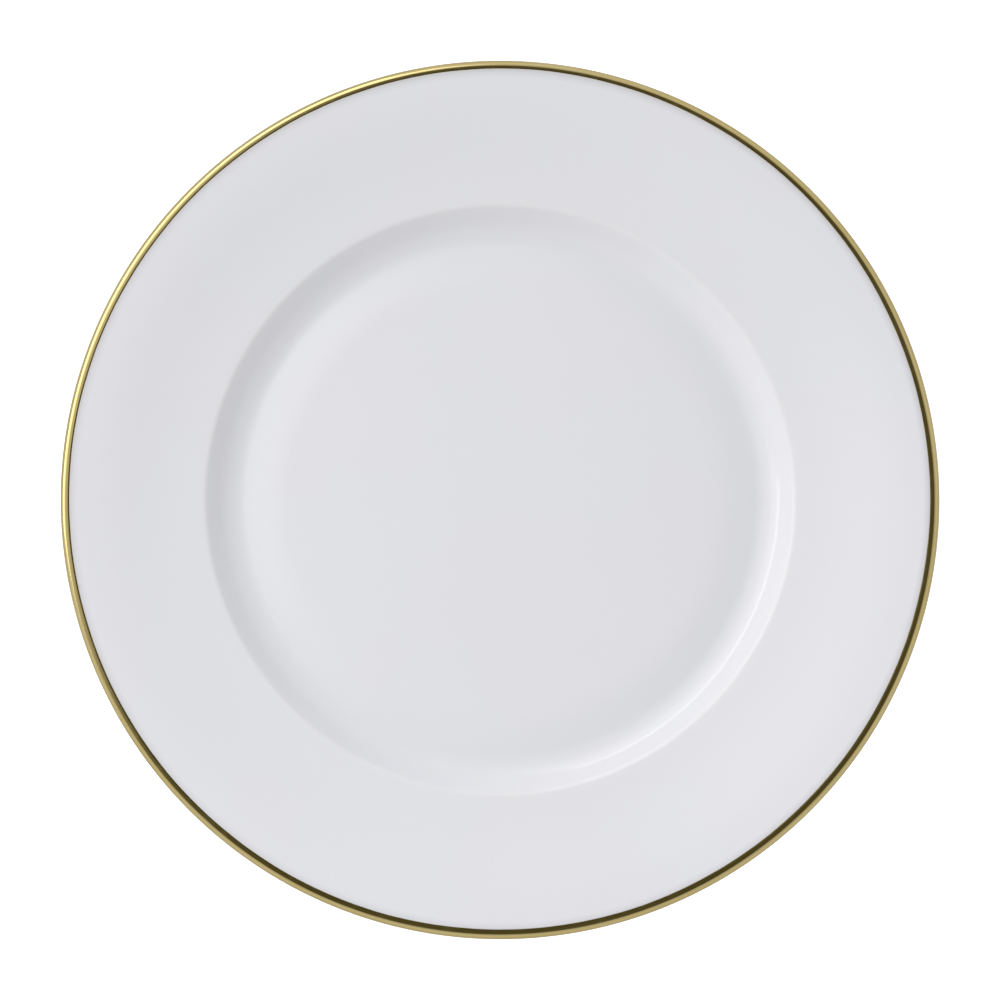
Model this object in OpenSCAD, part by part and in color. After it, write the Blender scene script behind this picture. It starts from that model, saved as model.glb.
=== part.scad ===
// Dinner plate of white glazed china with a gilded rim.
// Millimetres, +Z up. The origin is the centre of the plane that the foot ring stands on.
// The china is one fired piece. The glaze and the gilding are coats that lie on it without a gap.

/* [Plate] */
// Outside diameter, measured over the gilding
plate_d = 270; // [264:1:290]
// Thickness of the china under the middle of the well
floor_t = 4.2; // [3.4:0.1:5]
// Thickness of the china through the verge, square to its surface
verge_t = 3.8; // [3.2:0.1:4.4]
// Thickness of the china across the rim, measured upright
rim_t = 3.2; // [2.8:0.1:3.8]

/* [Well] */
// Diameter of the level floor, up to where it starts to fall towards the trough
floor_d = 138; // [128:1:142]
// Fall from the level floor to the corner where the verge starts
trough_drop = 1.6; // [0.8:0.1:2.2]
// Diameter of the corner where the verge starts
well_d = 166.2; // [164:0.2:168]
// Diameter of the shoulder, where the verge meets the rim
shoulder_d = 181.6; // [180:0.2:184]
// Height of the verge, from its lower corner to the shoulder
verge_h = 6.4; // [5.4:0.1:7.4]
// Radius in the corner between floor and verge
verge_r = 11; // [8:0.5:11.5]
// Radius over the shoulder
shoulder_r = 3; // [1.5:0.5:4]

/* [Rim] */
// Slope of the rim next to the shoulder, in degrees
rim_in_deg = 7.3; // [6:0.1:9]
// Slope across the middle of the rim, in degrees
rim_mid_deg = 12.3; // [11:0.1:14]
// Slope of the rim next to the lip, in degrees
rim_out_deg = 8; // [6.5:0.5:8.5]
// How far the outer edge of the lip leans down from level, in degrees
lip_fall_deg = 4; // [3:0.5:5]
// Radius across the crest of the lip
crest_r = 12; // [8:1:12]
// Radius from the crest to the outer edge
lip_r = 2; // [1.6:0.1:2]
// Radius under the outer edge
lip_under_r = 0.9; // [0.6:0.1:1]

/* [Foot ring] */
// Outside diameter of the foot ring where it stands
foot_d = 158.2; // [154:0.2:160]
// Width of the foot ring where it stands, with its rounded edges
foot_w = 3.2; // [2.6:0.1:4]
// Depth of the recess inside the foot ring
recess_h = 3.5; // [2.4:0.1:4]
// Height of the foot ring on its outer side
foot_h = 2.5; // [2.2:0.1:3]
// Radius on both edges of the standing face
foot_r = 0.6; // [0.3:0.1:0.8]
// Radius where the foot ring runs into the underside
foot_root_r = 1.8; // [1.2:0.2:2]

/* [Coats] */
// Thickness of the glaze
glaze_t = 0.2; // [0.15:0.05:0.3]
// Height of the bare china left at the bottom of the foot ring
dry_h = 0.9; // [0.8:0.1:1.4]
// Thickness of the gilding
gold_t = 0.1; // [0.1:0.02:0.16]
// Width of the gilded band, seen from above
gold_w = 3; // [2:0.1:4]
// How far down the outer edge the gilding reaches, from the height of the crest
gold_drop = 2; // [1.9:0.05:2.2]

/* [Hidden] */
$fn = 180;

// Where the slope of the rim changes: out from the shoulder, then in from the edge of the plate
dip_run = 12.7;
swell_run = 13;
crest_run = 3.5;
// Height of the lip's outer edge, between the corners over and under it
lip_h = 2.7;
// How much thicker the china is under the swell of the rim than the rest of the rim
swell_extra = 0.2;
// How far the two sides of the foot ring lean out from upright
foot_lean_out = 0.5;
foot_lean_in = 1;

// Radii of the soft curves, from the floor out to the lip and back underneath
floor_round = 50;
dip_round = 130;
swell_round = 80;
under_swell_round = 100;
under_shoulder_round = 7;
under_well_round = 4;

// Turn between one point of a rounded corner and the next, in degrees
arc_step = 4;
// How far a cutting shape stands clear of what it cuts
clear = 1;

// Corner points of the china's upper surface, from the axis outwards
china_edge_r = plate_d / 2 - glaze_t - gold_t;
floor_z = recess_h + floor_t;
well_z = floor_z - trough_drop;
shoulder_z = well_z + verge_h;
dip_r = shoulder_d / 2 + dip_run;
dip_z = shoulder_z + dip_run * tan(rim_in_deg);
swell_r = plate_d / 2 - swell_run;
swell_z = dip_z + (swell_r - dip_r) * tan(rim_mid_deg);
crest_at = plate_d / 2 - crest_run;
crest_z = swell_z + (crest_at - swell_r) * tan(rim_out_deg);
edge_z = crest_z - (china_edge_r - crest_at) * tan(lip_fall_deg);

// Corner points of its underside, from the lip inwards
under_lip_z = edge_z - lip_h;
under_swell_z = swell_z - rim_t - swell_extra;
verge_lean = atan(verge_h / ((shoulder_d - well_d) / 2));
mitre = (verge_lean + rim_in_deg) / 2;
under_shoulder_r = shoulder_d / 2 + verge_t * sin(mitre);
under_shoulder_z = shoulder_z - verge_t * cos(mitre);
under_well_r = well_d / 2 + verge_t * sin(verge_lean / 2);
under_well_z = well_z - verge_t * cos(verge_lean / 2);

// The whole surface of the china in half section: [distance from the axis, height, radius]
china_line = [
  [0, floor_z, 0],
  [floor_d / 2, floor_z, floor_round],
  [well_d / 2, well_z, verge_r],
  [shoulder_d / 2, shoulder_z, shoulder_r],
  [dip_r, dip_z, dip_round],
  [swell_r, swell_z, swell_round],
  [crest_at, crest_z, crest_r],
  [china_edge_r, edge_z, lip_r - glaze_t],
  [china_edge_r, under_lip_z, lip_under_r],
  [swell_r, under_swell_z, under_swell_round],
  [under_shoulder_r, under_shoulder_z, under_shoulder_round],
  [under_well_r, under_well_z, under_well_round],
  [foot_d / 2 + foot_lean_out, foot_h, foot_root_r],
  [foot_d / 2, 0, foot_r],
  [foot_d / 2 - foot_w, 0, foot_r],
  [foot_d / 2 - foot_w - foot_lean_in, recess_h, foot_root_r],
  [0, recess_h, 0]
];

// The surface is followed with the china on the right hand, so the open air is on the left
function flat(p) = [p.x, p.y];
function heading(line, i) = let (d = flat(line[i + 1]) - flat(line[i])) d / norm(d);
function left_of(d) = [-d.y, d.x];
function spun(d, a) = [d.x * cos(a) - d.y * sin(a), d.x * sin(a) + d.y * cos(a)];

// How far the line turns at a corner, to the left if positive
function turn(line, i) =
  let (a = heading(line, i - 1), b = heading(line, i))
  atan2(cross(a, b), a * b);

// One corner moved out by t, with its radius changed to suit
function grown_corner(line, i, t) =
  let (a = heading(line, i - 1), b = heading(line, i))
  let (p = flat(line[i]) + t * (left_of(a) + left_of(b)) / (1 + a * b))
  [p.x, p.y, line[i].z - t * sign(turn(line, i))];

// The whole line moved out by t
function grown(line, t) = concat(
  [line[0] + [0, t, 0]],
  [for (i = [1 : len(line) - 2]) grown_corner(line, i, t)],
  [line[len(line) - 1] - [0, t, 0]]
);

// The points of the arc that rounds a corner
function arc(line, i) =
  let (
    bend = turn(line, i),
    start = flat(line[i]) - line[i].z * tan(abs(bend) / 2) * heading(line, i - 1),
    spoke = line[i].z * sign(bend) * left_of(heading(line, i - 1)),
    steps = ceil(abs(bend) / arc_step)
  )
  [for (k = [0 : steps]) start + spoke - spun(spoke, bend * k / steps)];

// The whole line with every corner rounded
function rounded(line) = concat(
  [flat(line[0])],
  [for (i = [1 : len(line) - 2]) each arc(line, i)],
  [flat(line[len(line) - 1])]
);

// Everything inside a line, between it and the axis
module inside(line) {
  points = rounded(line);
  polygon([for (i = [len(points) - 1 : -1 : 0]) points[i]]);
}

// A coat of thickness t on a line
module skin(line, t) {
  difference() {
    inside(grown(line, t));
    inside(line);
  }
}

// The area inside the foot ring, up to halfway through the floor
module recess_area() {
  translate([0, -clear])
    square([foot_d / 2 - foot_w / 2, recess_h + floor_t / 2 + clear]);
}

module china_body() {
  color([0.95, 0.95, 0.94])
    rotate_extrude()
      inside(china_line);
}

module glaze_coat() {
  color([0.98, 0.98, 0.99])
    rotate_extrude()
      difference() {
        skin(china_line, glaze_t);
        recess_area();
        translate([0, -clear])
          square([plate_d / 2, dry_h + clear]);
      }
}

module recess_glaze() {
  color([0.97, 0.97, 0.98])
    rotate_extrude()
      intersection() {
        skin(china_line, glaze_t);
        recess_area();
        translate([0, dry_h])
          square([plate_d / 2, recess_h + floor_t]);
      }
}

module gold_band() {
  color([0.85, 0.7, 0.35])
    rotate_extrude()
      intersection() {
        skin(grown(china_line, glaze_t), gold_t);
        translate([plate_d / 2 - gold_w, crest_z - gold_drop])
          square([gold_w + clear, gold_drop + clear]);
      }
}

china_body();
glaze_coat();
recess_glaze();
gold_band();
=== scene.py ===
"""Looks of the china dinner plate: glaze, bare foot ring, gilding, floor, light and camera.

Metres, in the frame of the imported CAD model: +Z is up along the plate's axis, and z = 0 is the
plane that the foot ring stands on. Each CAD piece is replaced by a finer turned mesh of the same
section, so that the gloss runs smoothly over it.
"""

import math

import bpy
import numpy as np
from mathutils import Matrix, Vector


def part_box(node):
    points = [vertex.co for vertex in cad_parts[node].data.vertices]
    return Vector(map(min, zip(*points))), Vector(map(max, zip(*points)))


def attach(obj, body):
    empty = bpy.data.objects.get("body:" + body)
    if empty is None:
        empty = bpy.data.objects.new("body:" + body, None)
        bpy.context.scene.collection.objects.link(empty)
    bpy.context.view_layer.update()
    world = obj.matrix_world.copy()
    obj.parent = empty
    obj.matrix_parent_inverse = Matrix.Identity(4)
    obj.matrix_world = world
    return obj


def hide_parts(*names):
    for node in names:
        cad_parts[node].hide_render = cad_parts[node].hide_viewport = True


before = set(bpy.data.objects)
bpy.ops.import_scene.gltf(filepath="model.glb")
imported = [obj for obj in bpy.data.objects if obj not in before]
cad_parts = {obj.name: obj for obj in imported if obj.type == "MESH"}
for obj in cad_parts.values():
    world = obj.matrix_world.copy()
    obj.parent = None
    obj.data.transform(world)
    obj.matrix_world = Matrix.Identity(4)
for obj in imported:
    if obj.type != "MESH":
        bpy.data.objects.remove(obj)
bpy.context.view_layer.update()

MM = 0.001
BODY = "root"

# ---- Sizes: the outer ones come from the frame, and the section repeats the design's corners ----

# The radius over the gilding, the height at which the glaze ends on the foot ring, the depth of the
# recess inside the ring, and the height of the gilding's lower edge
PLATE_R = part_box("gold_band")[1].x
DRY_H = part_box("glaze_coat")[0].z
RECESS_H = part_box("recess_glaze")[1].z
GILT_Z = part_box("gold_band")[0].z
# Thickness of the glaze, and width of the gilding seen from above
GLAZE_T = 0.2 * MM
GILT_W = 3 * MM
# The gilding is thinner here than in the design, which sets how far in the china's edge lies
GILT_T = 0.04 * MM
DESIGN_GILT_T = 0.1 * MM
EDGE_R = PLATE_R - GLAZE_T - DESIGN_GILT_T

# The china's thickness under the floor, then where the level floor ends, where the verge starts and
# where it meets the rim
FLOOR_T = 4.2 * MM
FLOOR_R, FLOOR_Z = 69 * MM, RECESS_H + FLOOR_T
WELL_R, WELL_Z = 83.1 * MM, FLOOR_Z - 1.6 * MM
SHOULDER_R, SHOULDER_Z = 90.8 * MM, WELL_Z + 6.4 * MM
# Thickness of the verge, of the rim at its swell, and of the lip at its edge
VERGE_T = 3.8 * MM
SWELL_T = 3.4 * MM
LIP_H = 2.7 * MM
# The foot ring's outside radius and its width, both where it stands, and its height
FOOT_R, FOOT_W, FOOT_H = 79.1 * MM, 3.2 * MM, 2.5 * MM

# Where the slope of the rim changes: at its dip, at its swell and at the crest of the lip
DIP_R = SHOULDER_R + 12.7 * MM
SWELL_R = PLATE_R - 13 * MM
CREST_R = PLATE_R - 3.5 * MM
# How steeply the rim rises near the shoulder, across its middle and near the lip, and how the lip falls
RIM_IN, RIM_MID, RIM_OUT, LIP_FALL = (math.radians(degrees) for degrees in (7.3, 12.3, 8, 4))

DIP_Z = SHOULDER_Z + (DIP_R - SHOULDER_R) * math.tan(RIM_IN)
SWELL_Z = DIP_Z + (SWELL_R - DIP_R) * math.tan(RIM_MID)
CREST_Z = SWELL_Z + (CREST_R - SWELL_R) * math.tan(RIM_OUT)
EDGE_Z = CREST_Z - (EDGE_R - CREST_R) * math.tan(LIP_FALL)

# The china is of even thickness through the verge, so its lower corners lie on the upper ones' mitres
VERGE_LEAN = math.atan2(SHOULDER_Z - WELL_Z, SHOULDER_R - WELL_R)
SHOULDER_MITRE = (VERGE_LEAN + RIM_IN) / 2
UNDER_SHOULDER = (
    SHOULDER_R + VERGE_T * math.sin(SHOULDER_MITRE),
    SHOULDER_Z - VERGE_T * math.cos(SHOULDER_MITRE),
)
UNDER_WELL = (
    WELL_R + VERGE_T * math.sin(VERGE_LEAN / 2),
    WELL_Z - VERGE_T * math.cos(VERGE_LEAN / 2),
)

# Radii of the corners, over the top from the floor out to the lip, then back underneath
FLOOR_ROUND, VERGE_ROUND, SHOULDER_ROUND = 50 * MM, 11 * MM, 3 * MM
DIP_ROUND, SWELL_ROUND, CREST_ROUND, LIP_ROUND = 130 * MM, 80 * MM, 12 * MM, 1.8 * MM
UNDER_LIP_ROUND, UNDER_SWELL_ROUND = 0.9 * MM, 100 * MM
UNDER_SHOULDER_ROUND, UNDER_WELL_ROUND = 7 * MM, 4 * MM
FOOT_ROUND, FOOT_ROOT_ROUND = 0.6 * MM, 1.8 * MM
# How far the outer and the inner side of the foot ring lean out from upright
FOOT_LEAN_OUT, FOOT_LEAN_IN = 0.5 * MM, 1 * MM

# The whole surface of the china in half section: distance from the axis, height, radius of the corner
CHINA_LINE = [
    (0, FLOOR_Z, 0),
    (FLOOR_R, FLOOR_Z, FLOOR_ROUND),
    (WELL_R, WELL_Z, VERGE_ROUND),
    (SHOULDER_R, SHOULDER_Z, SHOULDER_ROUND),
    (DIP_R, DIP_Z, DIP_ROUND),
    (SWELL_R, SWELL_Z, SWELL_ROUND),
    (CREST_R, CREST_Z, CREST_ROUND),
    (EDGE_R, EDGE_Z, LIP_ROUND),
    (EDGE_R, EDGE_Z - LIP_H, UNDER_LIP_ROUND),
    (SWELL_R, SWELL_Z - SWELL_T, UNDER_SWELL_ROUND),
    (*UNDER_SHOULDER, UNDER_SHOULDER_ROUND),
    (*UNDER_WELL, UNDER_WELL_ROUND),
    (FOOT_R + FOOT_LEAN_OUT, FOOT_H, FOOT_ROOT_ROUND),
    (FOOT_R, 0, FOOT_ROUND),
    (FOOT_R - FOOT_W, 0, FOOT_ROUND),
    (FOOT_R - FOOT_W - FOOT_LEAN_IN, RECESS_H, FOOT_ROOT_ROUND),
    (0, RECESS_H, 0),
]

# How finely the section is divided: the turn between points of an arc, for the china and for the
# gilding, the longest step along a straight stretch, and how near its ends the first points lie
ARC_STEP = math.radians(4)
FINE_STEP = math.radians(0.5)
LONGEST_STEP = 7 * MM
GUARD = 0.4 * MM
# How many steps make the turn round the axis, and the bend from which an edge is shaded sharp
SEGMENTS = 320
GILT_SEGMENTS = 640
SHARP_ANGLE = math.radians(50)
# How many points the outer side of a coat has for each one on its hidden side
GLAZE_EVERY, GILT_EVERY = 2, 4

# Where a coat ends it is a film. The glaze has extra points close to its soft end, at these shares
# of its thickness from it
FILM = 0.01 * MM
SOFT_STEPS = np.array([0.1, 0.3, 0.6, 1])

# The gilding's inner edge: how many points across the band, how far it takes to reach its full
# thickness, how far off centre it is in millimetres, and how the brush wandered as waves round the
# plate: their number, millimetres, phase
GILT_STEPS = 64
GILT_FEATHER = 0.5 * MM
BRUSH_OFF_CENTRE = np.array([-0.10, 0.28])
BRUSH_WANDER = [(4, 0.03, 1.3), (9, 0.025, 0.4), (21, 0.018, 2.2), (53, 0.010, 5.1), (127, 0.006, 0.9)]
# How the kiln moved the rim up and down: number of waves, millimetres, phase, and how fast this
# grows from the foot out
KILN_LOBES = [(2, 0.16, 0.7), (3, 0.07, 2.1)]
KILN_GROWTH = 1.5


# ---- Section: a line of corners becomes a fine path, with the open air on its left ----


def left_of(heading):
    """The direction a quarter turn to the left of a heading."""
    return np.array([-heading[1], heading[0]])


def rounded(line, arc_step):
    """The line as points with the outward normal at each, with an arc in place of every corner."""
    corners = [np.array(corner[:2], float) for corner in line]
    heads = [(b - a) / np.linalg.norm(b - a) for a, b in zip(corners, corners[1:])]
    points, normals = [corners[0]], [left_of(heads[0])]
    for a, b, corner, (_, _, radius) in zip(heads, heads[1:], corners[1:], line[1:]):
        turn = math.atan2(a[0] * b[1] - a[1] * b[0], a @ b)
        side = math.copysign(1, turn)
        start = corner - a * radius * math.tan(abs(turn) / 2)
        centre = start + side * radius * left_of(a)
        add_straight(points, normals, start, left_of(a))
        for share in np.linspace(0, 1, math.ceil(abs(turn) / arc_step) + 1):
            c, s = math.cos(share * turn), math.sin(share * turn)
            out = np.array([[c, -s], [s, c]]) @ left_of(a)
            points.append(centre - side * radius * out)
            normals.append(out)
    add_straight(points, normals, corners[-1], left_of(heads[-1]))
    points.append(corners[-1])
    normals.append(left_of(heads[-1]))
    return np.array(points), np.array(normals)


def add_straight(points, normals, end, out):
    """Points along a straight stretch. The ones close to its ends keep its shading level."""
    start = points[-1]
    length = np.linalg.norm(end - start)
    if length > 3 * GUARD:
        count = math.ceil((length - 2 * GUARD) / LONGEST_STEP) + 1
        for along in np.linspace(GUARD, length - GUARD, count):
            points.append(start + (end - start) * along / length)
            normals.append(out)


def lengths(points):
    """Length along a path at each of its points."""
    steps = np.linalg.norm(np.diff(points, axis=0), axis=1)
    return np.concatenate([[0], np.cumsum(steps)])


def sampled(path, at):
    """The points and normals of a path at given lengths along it."""
    run = lengths(path[0])
    points, normals = (
        np.stack([np.interp(at, run, side[:, k]) for k in (0, 1)], axis=1)
        for side in path
    )
    return points, normals / np.linalg.norm(normals, axis=1)[:, None]


CHINA_PATH = rounded(CHINA_LINE, ARC_STEP)


def coat(base, height, every):
    """Closed outline of a coat on a path. Its hidden side has one in every so many of the points."""
    points, normals = base
    kept = np.arange(0, len(points), every)
    kept = np.unique(np.append(kept, len(points) - 1))
    return np.concatenate([points + normals * height[:, None], points[kept][::-1]])


def quarter_round(distance, radius):
    """Height of an edge that rises as a quarter circle, from a film to its full thickness."""
    share = np.clip(distance / radius, 0, 1)
    return np.maximum(FILM, radius * np.sqrt(1 - (1 - share) ** 2))


def glaze_section(first, last, open_end):
    """A glaze coat between two lengths along the china. At its open end it thins out softly."""
    run = lengths(CHINA_PATH[0])
    inner = run[(run > first + FILM) & (run < last - FILM)]
    near_end = open_end + np.sign(first + last - 2 * open_end) * GLAZE_T * SOFT_STEPS
    at = np.unique(np.concatenate([[first, last], inner, near_end]))
    height = quarter_round(np.abs(at - open_end), GLAZE_T)
    return coat(sampled(CHINA_PATH, at), height, GLAZE_EVERY)


# Which of the bare points is next to the glaze: the first one or the last one
OUTSIDE_FOOT, INSIDE_FOOT = 0, -1


def dry_line(side):
    """Length along the china at which its glaze ends, outside the foot ring or inside it."""
    run, levels = lengths(CHINA_PATH[0]), CHINA_PATH[0][:, 1]
    below = np.flatnonzero(levels < DRY_H)[side]
    above = below - 1 if side == OUTSIDE_FOOT else below + 1
    share = (DRY_H - levels[below]) / (levels[above] - levels[below])
    return run[below] + share * (run[above] - run[below])


def gilt_section(angle):
    """The gilding at one angle. A brush laid it, so its inner edge wanders and is thin."""
    first, last = np.interp(brush_edge(angle), *GILT_BY_RADIUS), GILT_LAST
    at = np.linspace(first, last, GILT_STEPS)
    share = np.clip((at - first) / GILT_FEATHER, 0, 1)
    height = FILM + (GILT_T - FILM) * share**2 * (3 - 2 * share)
    height = np.minimum(height, quarter_round(last - at, GILT_T))
    return coat(sampled(GILT_PATH, at), height, GILT_EVERY)


def brush_edge(angle):
    """Radius at which the gilding starts. The whole edge is a little off centre."""
    off_centre = BRUSH_OFF_CENTRE @ (math.cos(angle), math.sin(angle))
    wander = sum(w * math.sin(n * angle + phase) for n, w, phase in BRUSH_WANDER)
    return PLATE_R - GILT_W + (off_centre + wander) * MM


# The gilding lies on the outer face of the glaze. Over the top it is placed by its distance from the
# axis, and from the widest point down by its height
fine_points, fine_normals = rounded(CHINA_LINE, FINE_STEP)
GILT_PATH = (fine_points + fine_normals * GLAZE_T, fine_normals)
gilt_run = lengths(GILT_PATH[0])
widest = int(np.argmax(GILT_PATH[0][:, 0]))
lowest = widest + int(np.argmax(GILT_PATH[0][widest:, 1] < GILT_Z))
GILT_BY_RADIUS = (GILT_PATH[0][: widest + 1, 0], gilt_run[: widest + 1])
GILT_LAST = np.interp(
    -GILT_Z, -GILT_PATH[0][widest : lowest + 1, 1], gilt_run[widest : lowest + 1]
)


# ---- Turning: a closed section is carried round the axis ----


def warp(x, y):
    """How far the kiln's heat has moved the china up or down: nothing at the foot, most at the rim."""
    angle = np.arctan2(y, x)
    reach = np.clip((np.hypot(x, y) - FOOT_R) / (PLATE_R - FOOT_R), 0, 1)
    lobes = sum(height * np.cos(n * angle + phase) for n, height, phase in KILN_LOBES)
    return lobes * MM * reach**KILN_GROWTH


def turned(name, section, segments, material, node):
    """A closed mesh with the outline section(angle) all round. It stands for a CAD node."""
    angles = np.linspace(0, 2 * math.pi, segments, endpoint=False)
    rings = np.array([section(angle) for angle in angles])
    x = rings[..., 0] * np.cos(angles)[:, None]
    y = rings[..., 0] * np.sin(angles)[:, None]
    places = np.stack([x, y, rings[..., 1] + warp(x, y)], axis=-1)
    # A point on the axis is one vertex for the whole turn
    on_axis = rings[0, :, 0] < FILM
    verts, index = [], np.zeros(places.shape[:2], int)
    for k, single in enumerate(on_axis):
        count = 1 if single else segments
        index[:, k] = len(verts) + np.arange(segments) % count
        verts.extend(places[:count, k].tolist())
    faces = []
    for k, after in enumerate(np.roll(np.arange(len(on_axis)), -1)):
        if on_axis[k] and on_axis[after]:
            continue
        for s in range(segments):
            beside = (s + 1) % segments
            loop = [index[s, k], index[s, after], index[beside, after], index[beside, k]]
            faces.append([int(v) for v in dict.fromkeys(loop)])
    mesh = bpy.data.meshes.new(name)
    mesh.from_pydata(verts, [], faces)
    mesh.shade_smooth()
    mesh.set_sharp_from_angle(angle=SHARP_ANGLE)
    mesh.materials.append(material)
    piece = bpy.data.objects.new(name, mesh)
    bpy.context.scene.collection.objects.link(piece)
    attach(piece, BODY)
    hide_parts(node)
    return piece


# ---- Shader nodes ----

# The share of a speck's width across which it is full
SPECK_CORE = 0.6


def join(tree, socket, value):
    """Links a socket to another node's output, or gives it a plain value."""
    if isinstance(value, bpy.types.NodeSocket):
        tree.links.new(value, socket)
    else:
        socket.default_value = value


def maths(tree, operation, *values):
    """The result of a sum on numbers."""
    made = tree.nodes.new("ShaderNodeMath")
    made.operation = operation
    for socket, value in zip(made.inputs, values):
        join(tree, socket, value)
    return made.outputs[0]


def vector_maths(tree, operation, output, *values):
    """The result of a sum on vectors, at the output with this name or number."""
    made = tree.nodes.new("ShaderNodeVectorMath")
    made.operation = operation
    for socket, value in zip(made.inputs, values):
        join(tree, socket, value)
    return made.outputs[output]


def scaled_vector(tree, vector, scale):
    """A vector times a number."""
    made = tree.nodes.new("ShaderNodeVectorMath")
    made.operation = "SCALE"
    join(tree, made.inputs[0], vector)
    join(tree, made.inputs["Scale"], scale)
    return made.outputs[0]


def noise(tree, vector, scale, detail):
    """A cloudy pattern from 0 to 1, with about so many clouds to one unit of its coordinates."""
    made = tree.nodes.new("ShaderNodeTexNoise")
    join(tree, made.inputs["Vector"], vector)
    made.inputs["Scale"].default_value = scale
    made.inputs["Detail"].default_value = detail
    return made.outputs["Fac"]


def spread(tree, value, low, high, to_low=0.0, to_high=1.0):
    """Carries low..high over to to_low..to_high, softly at both ends."""
    made = tree.nodes.new("ShaderNodeMapRange")
    made.interpolation_type = "SMOOTHSTEP"
    for socket, number in zip(made.inputs, (value, low, high, to_low, to_high)):
        join(tree, socket, number)
    return made.outputs[0]


def bell(tree, value, centre, reach):
    """1 where value is at centre, falling softly to 0 at reach from it."""
    apart = maths(tree, "ABSOLUTE", maths(tree, "SUBTRACT", value, centre))
    return spread(tree, apart, low=0, high=reach, to_low=1, to_high=0)


def blend(tree, share, first, second):
    """The first colour where share is 0, and the second where it is 1."""
    made = tree.nodes.new("ShaderNodeMix")
    made.data_type = "RGBA"
    for socket, value in zip((made.inputs[0], *made.inputs[6:8]), (share, first, second)):
        join(tree, socket, value)
    return made.outputs[2]


def bumped(tree, height):
    """The surface normal with a height in metres laid on it."""
    made = tree.nodes.new("ShaderNodeBump")
    made.inputs["Strength"].default_value = 1
    made.inputs["Distance"].default_value = 1
    join(tree, made.inputs["Height"], height)
    return made.outputs["Normal"]


def heights(tree, *layers):
    """The sum of layers, each a pattern from 0 to 1 and its height."""
    total = 0.0
    for pattern, height in layers:
        total = maths(tree, "MULTIPLY_ADD", pattern, height, total)
    return total


def cells(tree, vector, per_metre):
    """Distance from the middle of a scattered cell in cell widths, and the cell's random number."""
    made = tree.nodes.new("ShaderNodeTexVoronoi")
    join(tree, made.inputs["Vector"], vector)
    made.inputs["Scale"].default_value = per_metre
    return made.outputs["Distance"], made.outputs["Color"]


def specks(tree, vector, per_metre, size, rarity):
    """1 on a few scattered dots, 0 elsewhere. A rarity of 0.9 leaves out most of them."""
    distance, lot = cells(tree, vector, per_metre)
    lot_value = tree.nodes.new("ShaderNodeSeparateColor")
    join(tree, lot_value.inputs[0], lot)
    drawn = maths(tree, "GREATER_THAN", lot_value.outputs[0], rarity)
    reach = size * per_metre
    dot = spread(tree, distance, low=SPECK_CORE * reach, high=reach, to_low=1, to_high=0)
    return maths(tree, "MULTIPLY", drawn, dot)


def new_material(name, ior=1.5, metallic=0.0):
    """A material with its node tree, its shader and the place on the plate."""
    material = bpy.data.materials.new(name)
    material.use_nodes = True
    shader = material.node_tree.nodes["Principled BSDF"]
    shader.inputs["IOR"].default_value = ior
    shader.inputs["Metallic"].default_value = metallic
    coordinates = material.node_tree.nodes.new("ShaderNodeTexCoord")
    return material, material.node_tree, shader, coordinates.outputs["Object"]


def distance_out(tree, place):
    """Distance from the plate's axis."""
    return vector_maths(tree, "LENGTH", "Value", vector_maths(tree, "MULTIPLY", 0, place, (1, 1, 0)))


def height_of(tree, place):
    """The upright part of a place or a direction."""
    parts = tree.nodes.new("ShaderNodeSeparateXYZ")
    join(tree, parts.inputs[0], place)
    return parts.outputs["Z"]


def round_the_plate(tree, place, around, across):
    """Coordinates whose patterns run round the plate in streaks."""
    level = vector_maths(tree, "NORMALIZE", 0, vector_maths(tree, "MULTIPLY", 0, place, (1, 1, 0)))
    out = tree.nodes.new("ShaderNodeCombineXYZ")
    out_and_up = maths(tree, "ADD", distance_out(tree, place), height_of(tree, place))
    join(tree, out.inputs["Z"], maths(tree, "MULTIPLY", out_and_up, across))
    return vector_maths(tree, "ADD", 0, scaled_vector(tree, level, around), out.outputs[0])


def scratches(tree, place, angle, length, width):
    """1 on fine straight marks that lie at an angle, 0 elsewhere."""
    turn = tree.nodes.new("ShaderNodeMapping")
    join(tree, turn.inputs["Vector"], place)
    turn.inputs["Rotation"].default_value = (0, 0, angle)
    turn.inputs["Scale"].default_value = (1 / length, 1 / width, 0)
    return spread(tree, noise(tree, turn.outputs[0], scale=1, detail=1), low=0.70, high=0.76)


# ---- Materials ----

# The two whites that the glaze clouds between
WHITE_COOL = (0.795, 0.803, 0.835, 1)
WHITE_WARM = (0.803, 0.800, 0.833, 1)
# A little under a real glaze's 1.5, for reflections as faint as the photograph's
GLAZE_IOR = 1.42
# Tints of the glaze, each with how strong it is at its middle: where it pools and where it runs
# thin, a painted shade and a warm brown tint beside the gilding, and specks of iron
POOLED, POOLED_SHARE = (0.785, 0.800, 0.832, 1), 0.5
THIN, THIN_SHARE = (0.825, 0.815, 0.805, 1), 0.25
# Painted shade: grey laid on the glaze inside the gilding, darkest at its edge and fading over 2.6 mm
GILT_SIDE_SHADE, GILT_SIDE_SHADE_SHARE = (0.36, 0.36, 0.38, 1), 0.21
# A narrow warm brown darkening of the glaze along the gilding's inner edge, fading over 0.9 mm
GILT_EDGE_BROWN, GILT_EDGE_BROWN_SHARE = (0.52, 0.47, 0.40, 1), 0.3
IRON, IRON_SHARE = (0.30, 0.24, 0.19, 1), 0.5
# The marks that cutlery leaves: their directions in radians, their length and width, how much they
# add to the roughness of the glaze, and their depth
CUT_ANGLES = (0.3, 1.1, 2.0, 2.7)
CUT_LENGTH, CUT_WIDTH = 9 * MM, 0.2 * MM
CUT_DULLING = 0.12
CUT_DEPTH = 0.001 * MM

BARE_LIGHT = (0.80, 0.78, 0.74, 1)
BARE_DARK = (0.68, 0.65, 0.60, 1)
SHELF_GREY = (0.42, 0.41, 0.40, 1)

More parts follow.
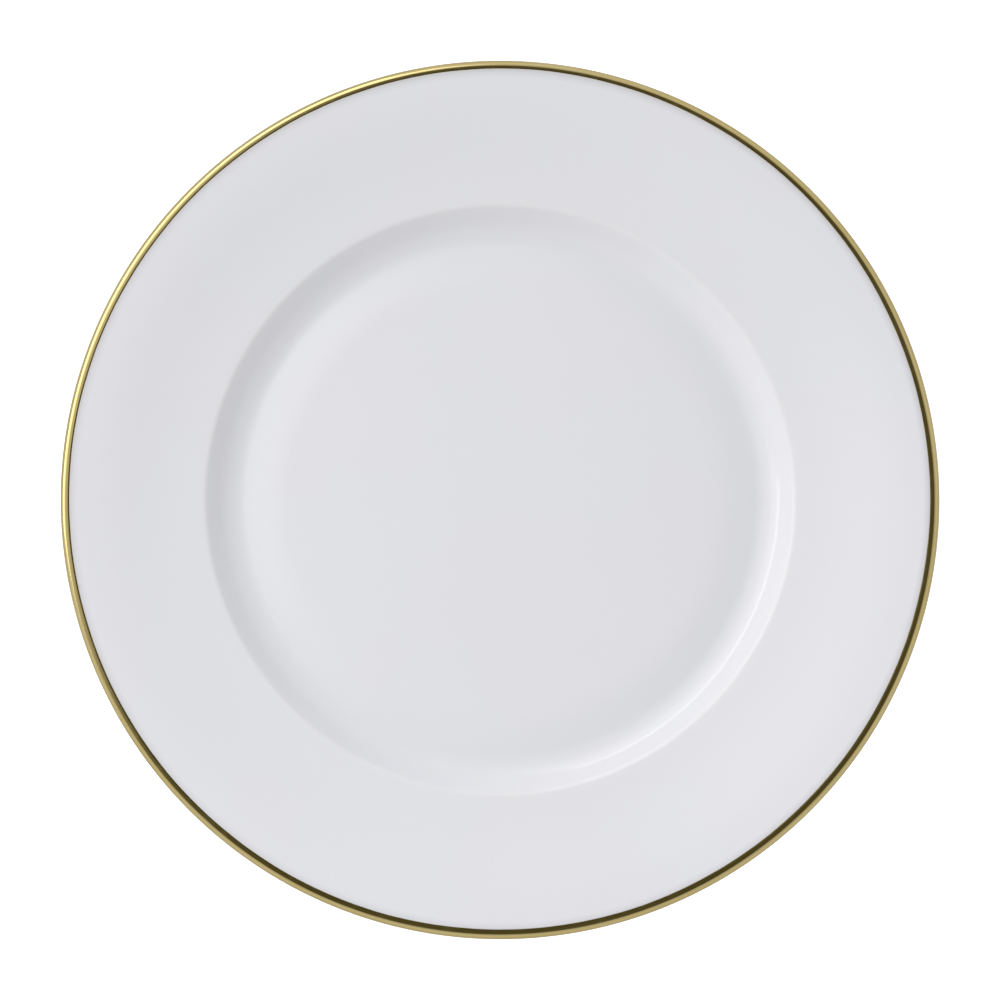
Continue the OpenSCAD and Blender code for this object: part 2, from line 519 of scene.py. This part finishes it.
GOLD_DEEP = (0.63, 0.495, 0.175, 1)
GOLD_PALE = (0.72, 0.590, 0.265, 1)
# How much paler and rougher the gilding is where it is rubbed
RUB_PALENESS = 0.35
RUB_DULLING = 0.05
# The clear coat over the metal, which takes some of the yellow out of its highlights
GOLD_COAT, GOLD_COAT_IOR, GOLD_COAT_ROUGHNESS = 0.6, 1.6, 0.12

TABLE_DARK = (0.70, 0.70, 0.70, 1)
TABLE_LIGHT = (0.74, 0.74, 0.74, 1)
TABLE_ROUGHNESS = 0.9
TABLE_GLOW = 0.75


def glaze_colour(tree, place, out, up):
    """White, cooler where glaze pools, warmer where it runs thin, with painted shade and a brown tint
    beside the gilding.
    """
    cloud = spread(tree, noise(tree, place, scale=16, detail=3), low=0.35, high=0.65)
    colour = blend(tree, cloud, WHITE_COOL, WHITE_WARM)
    pooled = bell(tree, out, centre=WELL_R - 6 * MM, reach=10 * MM)
    colour = blend(tree, maths(tree, "MULTIPLY", pooled, POOLED_SHARE), colour, POOLED)
    thin = bell(tree, out, centre=SHOULDER_R, reach=1.6 * MM)
    colour = blend(tree, maths(tree, "MULTIPLY", thin, THIN_SHARE), colour, THIN)
    on_top = spread(tree, up, low=CREST_Z - 1.5 * MM, high=CREST_Z - 0.9 * MM)
    # The grey band is painted shade on the glaze next to the gilding; the brown one is a narrow warm
    # tint at its edge
    for tint, share, reach in ((GILT_SIDE_SHADE, GILT_SIDE_SHADE_SHARE, 2.6 * MM), (GILT_EDGE_BROWN, GILT_EDGE_BROWN_SHARE, 0.9 * MM)):
        beside_gold = bell(tree, out, centre=PLATE_R - GILT_W, reach=reach)
        tinted = maths(tree, "MULTIPLY", maths(tree, "MULTIPLY", beside_gold, on_top), share)
        colour = blend(tree, tinted, colour, tint)
    dots = specks(tree, place, per_metre=70, size=0.12 * MM, rarity=0.93)
    return blend(tree, maths(tree, "MULTIPLY", dots, IRON_SHARE), colour, IRON)


def glaze_material(name, marked):
    """Clear glaze on white china. Where it is marked, cutlery has dulled it in the well."""
    material, tree, shader, place = new_material(name, ior=GLAZE_IOR)
    out, up = distance_out(tree, place), height_of(tree, place)
    join(tree, shader.inputs["Base Color"], glaze_colour(tree, place, out, up))
    patches = noise(tree, place, scale=30, detail=4)
    dulled = spread(tree, patches, low=0.35, high=0.7, to_low=0.045, to_high=0.085)
    turning_rings = round_the_plate(tree, place, around=2, across=260)
    layers = [
        (noise(tree, place, scale=420, detail=2), 0.004 * MM),
        (noise(tree, place, scale=55, detail=1), 0.03 * MM),
        (noise(tree, turning_rings, scale=1, detail=1), 0.006 * MM),
        (specks(tree, place, per_metre=45, size=0.16 * MM, rarity=0.9), -0.02 * MM),
    ]
    if marked:
        in_well = spread(tree, out, low=FLOOR_R, high=WELL_R, to_low=1, to_high=0)
        often_cut = spread(tree, noise(tree, place, scale=35, detail=2), low=0.45, high=0.6)
        worn = maths(tree, "MULTIPLY", in_well, often_cut)
        for angle in CUT_ANGLES:
            cuts = scratches(tree, place, angle, CUT_LENGTH, CUT_WIDTH)
            marks = maths(tree, "MULTIPLY", worn, cuts)
            dulled = maths(tree, "MULTIPLY_ADD", marks, CUT_DULLING, dulled)
            layers.append((marks, -CUT_DEPTH))
    join(tree, shader.inputs["Roughness"], dulled)
    join(tree, shader.inputs["Normal"], bumped(tree, heights(tree, *layers)))
    return material


def bare_china_material(name):
    """Fired china without glaze, with a fine grain and grey rubs from the shelves it has stood on."""
    material, tree, shader, place = new_material(name)
    grain = noise(tree, place, scale=2600, detail=3)
    tone = blend(tree, spread(tree, grain, low=0.3, high=0.7), BARE_DARK, BARE_LIGHT)
    foot = spread(tree, height_of(tree, place), low=0.05 * MM, high=0.35 * MM, to_low=1, to_high=0)
    smears = noise(tree, round_the_plate(tree, place, around=45, across=420), scale=1, detail=4)
    rubs = spread(tree, smears, low=0.42, high=0.7, to_high=0.7)
    rubbed = maths(tree, "MULTIPLY", foot, rubs)
    join(tree, shader.inputs["Base Color"], blend(tree, rubbed, tone, SHELF_GREY))
    dull = spread(tree, rubbed, low=0, high=1, to_low=0.78, to_high=0.5)
    join(tree, shader.inputs["Roughness"], dull)
    pits = specks(tree, place, per_metre=900, size=0.25 * MM, rarity=0.6)
    relief = heights(tree, (grain, 0.03 * MM), (pits, -0.03 * MM))
    join(tree, shader.inputs["Normal"], bumped(tree, relief))
    return material


def gilt_material(name):
    """Burnished gold laid on with a brush that went round the rim, paler where it is rubbed."""
    material, tree, shader, place = new_material(name, metallic=1.0)
    strokes = round_the_plate(tree, place, around=3, across=5200)
    streaks = noise(tree, strokes, scale=1, detail=3)
    rubs = spread(tree, noise(tree, place, scale=210, detail=4), low=0.5, high=0.72)
    colour = blend(tree, spread(tree, streaks, low=0.3, high=0.7), GOLD_DEEP, GOLD_PALE)
    colour = blend(tree, maths(tree, "MULTIPLY", rubs, RUB_PALENESS), colour, GOLD_PALE)
    join(tree, shader.inputs["Base Color"], colour)
    dull = spread(tree, streaks, low=0.25, high=0.75, to_low=0.09, to_high=0.16)
    join(tree, shader.inputs["Roughness"], maths(tree, "MULTIPLY_ADD", rubs, RUB_DULLING, dull))
    layers = heights(
        tree,
        (streaks, 0.006 * MM),
        (noise(tree, place, scale=900, detail=2), 0.003 * MM),
        (noise(tree, place, scale=70, detail=1), 0.02 * MM),
    )
    join(tree, shader.inputs["Normal"], bumped(tree, layers))
    shader.inputs["Coat Weight"].default_value = GOLD_COAT
    shader.inputs["Coat IOR"].default_value = GOLD_COAT_IOR
    shader.inputs["Coat Roughness"].default_value = GOLD_COAT_ROUGHNESS
    return material


def floor_material(name):
    """A pale table that also glows a little, so that the plate's shadow on it stays faint."""
    material, tree, shader, place = new_material(name)
    tone = spread(tree, noise(tree, place, scale=6, detail=2), low=0.3, high=0.7)
    join(tree, shader.inputs["Base Color"], blend(tree, tone, TABLE_DARK, TABLE_LIGHT))
    shader.inputs["Roughness"].default_value = TABLE_ROUGHNESS
    shader.inputs["Specular IOR Level"].default_value = 0
    shader.inputs["Emission Color"].default_value = (1, 1, 1, 1)
    shader.inputs["Emission Strength"].default_value = TABLE_GLOW
    return material


# ---- The plate ----

turned(
    "fired_china_body",
    lambda angle: CHINA_PATH[0],
    SEGMENTS,
    bare_china_material("bare_china"),
    "china_body",
)
main_glaze = glaze_section(0, dry_line(OUTSIDE_FOOT), open_end=dry_line(OUTSIDE_FOOT))
turned(
    "glaze_over_plate",
    lambda angle: main_glaze,
    SEGMENTS,
    glaze_material("glaze", marked=True),
    "glaze_coat",
)
recess_end = lengths(CHINA_PATH[0])[-1]
recess_glaze = glaze_section(dry_line(INSIDE_FOOT), recess_end, open_end=dry_line(INSIDE_FOOT))
turned(
    "glaze_in_recess",
    lambda angle: recess_glaze,
    SEGMENTS,
    glaze_material("glaze_underneath", marked=False),
    "recess_glaze",
)
turned("gilded_lip", gilt_section, GILT_SEGMENTS, gilt_material("gilding"), "gold_band")


# ---- Floor, light and camera ----

# Half the width of the floor in metres
FLOOR_HALF = 8
# The camera's lens and sensor, and how much of the picture's width the plate takes up
LENS_MM, SENSOR_MM = 200, 36
PLATE_SHARE = 0.8793
# The room from straight down to overhead: elevation in degrees, colour
SKY = [
    (-90, (0.62, 0.62, 0.63)),
    (-1, (0.62, 0.62, 0.63)),
    (3, (0.76, 0.76, 0.77)),
    (30, (0.74, 0.74, 0.75)),
    (46, (0.64, 0.64, 0.65)),
    (56, (0.56, 0.56, 0.57)),
    (66, (0.21, 0.21, 0.20)),
    (76, (0.085, 0.078, 0.042)),
]
# How much brighter the room is on one side, and the azimuth of that side in degrees
SKY_LEAN, SKY_SIDE = 0.08, 145
# A pale patch of ceiling: its azimuth and elevation, and how far it reaches at full strength and at
# its edge, all in degrees, and its colour
PATCH_AT = (162, 69)
PATCH_REACH = (8, 18)
PATCH = (0.75, 0.74, 0.70, 1)


def lay_floor():
    """A wide table under the plate. It isn't reflected in the glaze or the gilding."""
    corners = [(x * FLOOR_HALF, y * FLOOR_HALF, 0) for x, y in ((-1, -1), (1, -1), (1, 1), (-1, 1))]
    mesh = bpy.data.meshes.new("floor")
    mesh.from_pydata(corners, [], [(0, 1, 2, 3)])
    mesh.materials.append(floor_material("floor"))
    floor = bpy.data.objects.new("floor", mesh)
    floor.visible_glossy = False
    bpy.context.scene.collection.objects.link(floor)


def pointing(azimuth, elevation):
    """The direction with an azimuth and an elevation, both in degrees."""
    a, e = math.radians(azimuth), math.radians(elevation)
    return (math.cos(a) * math.cos(e), math.sin(a) * math.cos(e), math.sin(e))


def light_room():
    """A pale room round the plate, darker straight above it, where the camera is."""
    world = bpy.data.worlds.new("room")
    world.use_nodes = True
    bpy.context.scene.world = world
    tree = world.node_tree
    way = tree.nodes.new("ShaderNodeTexCoord").outputs["Generated"]
    ramp = tree.nodes.new("ShaderNodeValToRGB")
    ramp.color_ramp.interpolation = "EASE"
    stops = ramp.color_ramp.elements
    for number, (elevation, colour) in enumerate(SKY):
        at = (1 + math.sin(math.radians(elevation))) / 2
        stop = stops[0] if number == 0 else stops.new(at)
        stop.position = at
        stop.color = (*colour, 1)
    # The ramp came with two stops, and the second one is left over
    stops.remove(stops[-1])
    # Straight down is 0 on the ramp and straight up is 1
    join(tree, ramp.inputs[0], maths(tree, "MULTIPLY_ADD", height_of(tree, way), 0.5, 0.5))
    beside = vector_maths(tree, "DOT_PRODUCT", "Value", way, pointing(SKY_SIDE, 0))
    towards_patch = vector_maths(tree, "DOT_PRODUCT", "Value", way, pointing(*PATCH_AT))
    inner, outer = (math.cos(math.radians(reach)) for reach in PATCH_REACH)
    patched = spread(tree, towards_patch, low=outer, high=inner)
    background = tree.nodes["Background"]
    join(tree, background.inputs["Color"], blend(tree, patched, ramp.outputs[0], PATCH))
    join(tree, background.inputs["Strength"], maths(tree, "MULTIPLY_ADD", beside, SKY_LEAN, 1))


def hang_light(name, size, watts, azimuth, elevation, distance):
    """A soft rectangular light that points at the middle of the plate. The camera doesn't see it."""
    light = bpy.data.lights.new(name, "AREA")
    light.shape = "RECTANGLE"
    light.size, light.size_y = size
    light.energy = watts
    lamp = bpy.data.objects.new(name, light)
    lamp.visible_camera = False
    a, e = math.radians(azimuth), math.radians(elevation)
    level, rise = distance * math.cos(e), distance * math.sin(e)
    lamp.location = (level * math.cos(a), level * math.sin(a), CREST_Z + rise)
    lamp.rotation_euler = (math.pi / 2 - e, 0, a + math.pi / 2)
    bpy.context.scene.collection.objects.link(lamp)
    return lamp


def set_camera():
    """Straight above, so far away that the plate takes up PLATE_SHARE of the picture's width."""
    lens = bpy.data.cameras.new("camera")
    lens.lens, lens.sensor_width = LENS_MM, SENSOR_MM
    across = 2 * PLATE_R / PLATE_SHARE
    camera = bpy.data.objects.new("camera", lens)
    camera.location = (0, 0, GILT_Z + across * LENS_MM / SENSOR_MM)
    bpy.context.scene.collection.objects.link(camera)
    bpy.context.scene.camera = camera


lay_floor()
light_room()
hang_light("key", (2.4, 1.0), watts=8, azimuth=143, elevation=40, distance=1.6)
hang_light("window", (2.4, 0.25), watts=4.2, azimuth=145, elevation=27, distance=1.6)
fill = hang_light("fill", (0.57, 0.57), watts=0.82, azimuth=222, elevation=66, distance=0.57)
# The fill isn't reflected in the glaze or the gilding
fill.visible_glossy = False
set_camera()
bpy.context.scene.view_settings.view_transform = "Standard"
